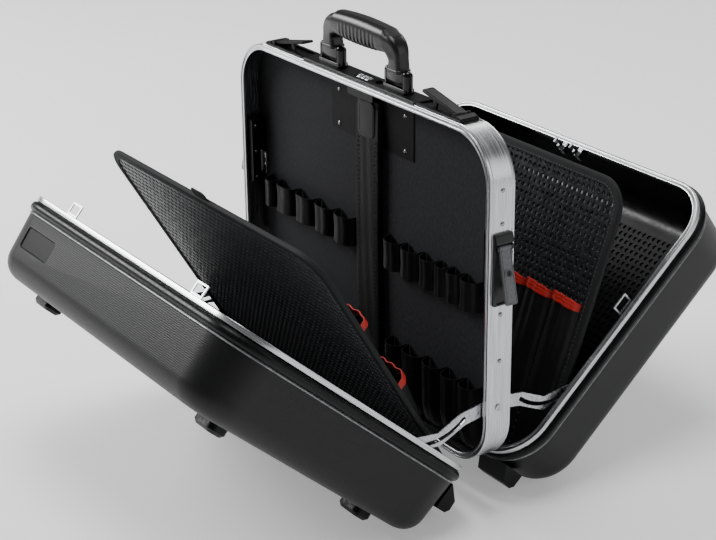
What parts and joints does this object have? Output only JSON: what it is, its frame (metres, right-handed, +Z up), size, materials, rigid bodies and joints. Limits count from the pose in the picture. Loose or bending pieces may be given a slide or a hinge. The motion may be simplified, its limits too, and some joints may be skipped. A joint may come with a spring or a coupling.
{
  "type": "hard tool case",
  "caption": "Hard tool case standing open: framed tool board between two tray shells with lid stays, pallets, draw latches, combination lock and folding handle.",
  "frame": {"origin": "on the floor under the middle of the upright frame", "axes": "+X along the case, +Y towards the rear shell, +Z up"},
  "size_m": [0.5182, 0.6986, 0.5022],
  "materials": {
    "aluminium_profile": "brushed, clear anodised",
    "shell_abs": "moulded with a fine line grain",
    "black_zinc": "black lacquered die casting",
    "grey_zinc": "satin grey lacquer",
    "bright_steel": "nickel plated",
    "handle_plastic": "satin, moulded",
    "black_webbing": "woven",
    "red_elastic": "woven elastic",
    "board_fibre": "black grained facing",
    "pallet_sheet": "moulded with rows of dimples",
    "grey_binding": "woven binding tape"
  },
  "bodies": {
    "frame": {"frame_band": "aluminium_profile", "rivets": "bright_steel", "tool_board": "board_fibre", "board_plate": "board_fibre", "centre_strap": "black_webbing", "left_tool_loops": "black_webbing", "right_tool_loops": "black_webbing", "left_tool_pockets": "black_webbing", "right_tool_pockets": "black_webbing", "latch_housings": "shell_abs", "lock_housing": "shell_abs", "wheel_axle": "bright_steel", "handle_plate": "black_zinc", "handle_mounts": "black_zinc", "pivot_pins": "bright_steel", "top_latch_bases": "black_zinc", "side_latch_bases": "black_zinc", "stay_pivots": "bright_steel", "frame_hinge_leaves": "black_zinc", "hinge_pins": "bright_steel"},
    "front_shell": {"front_shell": "shell_abs", "front_rim": "aluminium_profile", "front_feet": "shell_abs", "front_keepers": "bright_steel", "front_hinge_leaves": "black_zinc", "front_stay_pins": "bright_steel", "front_pallet_tape": "black_webbing"},
    "rear_shell": {"rear_shell": "shell_abs", "rear_rim": "aluminium_profile", "rear_feet": "shell_abs", "rear_keepers": "bright_steel", "rear_hinge_leaves": "black_zinc", "rear_stay_pins": "bright_steel", "rear_pallet_tape": "black_webbing", "rear_floor_panel": "shell_abs"},
    "front_pallet": {"front_pallet_board": "pallet_sheet", "front_pallet_binding": "grey_binding", "front_pallet_pockets": "black_webbing", "front_pallet_elastics": "red_elastic"},
    "rear_pallet": {"rear_pallet_board": "pallet_sheet", "rear_pallet_binding": "grey_binding", "rear_pallet_pockets": "black_webbing", "rear_pallet_elastics": "red_elastic"},
    "handle": {"handle_grip": "handle_plastic"},
    "top_left_lever": {"top_left_lever": "black_zinc"},
    "top_right_lever": {"top_right_lever": "black_zinc"},
    "side_left_lever": {"side_left_lever": "grey_zinc"},
    "side_right_lever": {"side_right_lever": "grey_zinc"},
    "side_left_lock_plug": {"side_left_lock_plug": "bright_steel"},
    "side_right_lock_plug": {"side_right_lock_plug": "bright_steel"},
    "number_wheel_1": {"number_wheel_1": "bright_steel"},
    "number_wheel_2": {"number_wheel_2": "bright_steel"},
    "number_wheel_3": {"number_wheel_3": "bright_steel"},
    "lock_slide": {"lock_slide": "black_zinc"},
    "front_left_stay": {"front_left_stay": "bright_steel"},
    "front_right_stay": {"front_right_stay": "bright_steel"},
    "rear_left_stay": {"rear_left_stay": "bright_steel"},
    "rear_right_stay": {"rear_right_stay": "bright_steel"}
  },
  "joints": [
    {"name": "front_opening", "type": "hinge", "parent": "frame", "child": "front_shell", "pos_m": [0, -0.017, 0.05021], "axis": [-1, 0, 0], "range_deg": [0, 48.4]},
    {"name": "rear_opening", "type": "hinge", "parent": "frame", "child": "rear_shell", "pos_m": [0, 0.017, 0.05021], "axis": [1, 0, 0], "range_deg": [0, 48.4]},
    {"name": "front_pallet_fold", "type": "hinge", "parent": "front_shell", "child": "front_pallet", "pos_m": [0, -0.03901, 0.05103], "axis": [1, 0, 0], "range_deg": [0, 18]},
    {"name": "rear_pallet_fold", "type": "hinge", "parent": "rear_shell", "child": "rear_pallet", "pos_m": [0, 0.07669, 0.01762], "axis": [-1, 0, 0], "range_deg": [0, 28.5]},
    {"name": "handle_fold", "type": "hinge", "parent": "frame", "child": "handle", "pos_m": [0, 0, 0.44761], "axis": [1, 0, 0], "range_deg": [-85, 85]},
    {"name": "top_left_latch", "type": "hinge", "parent": "frame", "child": "top_left_lever", "pos_m": [-0.1715, 0, 0.43651], "axis": [0, 1, 0], "range_deg": [0, 12]},
    {"name": "top_right_latch", "type": "hinge", "parent": "frame", "child": "top_right_lever", "pos_m": [0.1715, 0, 0.43651], "axis": [0, -1, 0], "range_deg": [0, 12]},
    {"name": "side_left_latch", "type": "hinge", "parent": "frame", "child": "side_left_lever", "pos_m": [-0.2443, 0, 0.31521], "axis": [0, -1, 0], "range_deg": [0, 13]},
    {"name": "side_left_lock", "type": "hinge", "parent": "side_left_lever", "child": "side_left_lock_plug", "pos_m": [-0.25037, 0, 0.2889], "axis": [-0.9744, 0, 0.225], "range_deg": [0, 90]},
    {"name": "side_right_latch", "type": "hinge", "parent": "frame", "child": "side_right_lever", "pos_m": [0.2443, 0, 0.31521], "axis": [0, 1, 0], "range_deg": [0, 13]},
    {"name": "side_right_lock", "type": "hinge", "parent": "side_right_lever", "child": "side_right_lock_plug", "pos_m": [0.25037, 0, 0.2889], "axis": [0.9744, 0, 0.225], "range_deg": [0, 90]},
    {"name": "number_wheel_1_turn", "type": "hinge", "parent": "frame", "child": "number_wheel_1", "pos_m": [-0.008, 0, 0.43091], "axis": [1, 0, 0], "continuous": true},
    {"name": "number_wheel_2_turn", "type": "hinge", "parent": "frame", "child": "number_wheel_2", "pos_m": [0, 0, 0.43091], "axis": [1, 0, 0], "continuous": true},
    {"name": "number_wheel_3_turn", "type": "hinge", "parent": "frame", "child": "number_wheel_3", "pos_m": [0.008, 0, 0.43091], "axis": [1, 0, 0], "continuous": true},
    {"name": "lock_slide_travel", "type": "slide", "parent": "frame", "child": "lock_slide", "axis": [1, 0, 0], "range_m": [0, 0.007]},
    {"name": "front_left_stay_swing", "type": "hinge", "parent": "frame", "child": "front_left_stay", "pos_m": [-0.232, 0, 0.13321], "axis": [-1, 0, 0], "range_deg": [0, 55.95]},
    {"name": "front_right_stay_swing", "type": "hinge", "parent": "frame", "child": "front_right_stay", "pos_m": [0.232, 0, 0.13321], "axis": [-1, 0, 0], "range_deg": [0, 55.95]},
    {"name": "rear_left_stay_swing", "type": "hinge", "parent": "frame", "child": "rear_left_stay", "pos_m": [-0.232, 0, 0.13321], "axis": [1, 0, 0], "range_deg": [0, 55.95]},
    {"name": "rear_right_stay_swing", "type": "hinge", "parent": "frame", "child": "rear_right_stay", "pos_m": [0.232, 0, 0.13321], "axis": [1, 0, 0], "range_deg": [0, 55.95]}
  ],
  "couplings": [
    {"joint": "front_pallet_fold", "follows": "front_opening", "ratio": 0.3719},
    {"joint": "rear_pallet_fold", "follows": "rear_opening", "ratio": 0.58884},
    {"joint": "front_left_stay_swing", "follows": "front_opening", "ratio": 1.1559},
    {"joint": "front_right_stay_swing", "follows": "front_opening", "ratio": 1.1559},
    {"joint": "rear_left_stay_swing", "follows": "rear_opening", "ratio": 1.1559},
    {"joint": "rear_right_stay_swing", "follows": "rear_opening", "ratio": 1.1559}
  ]
}
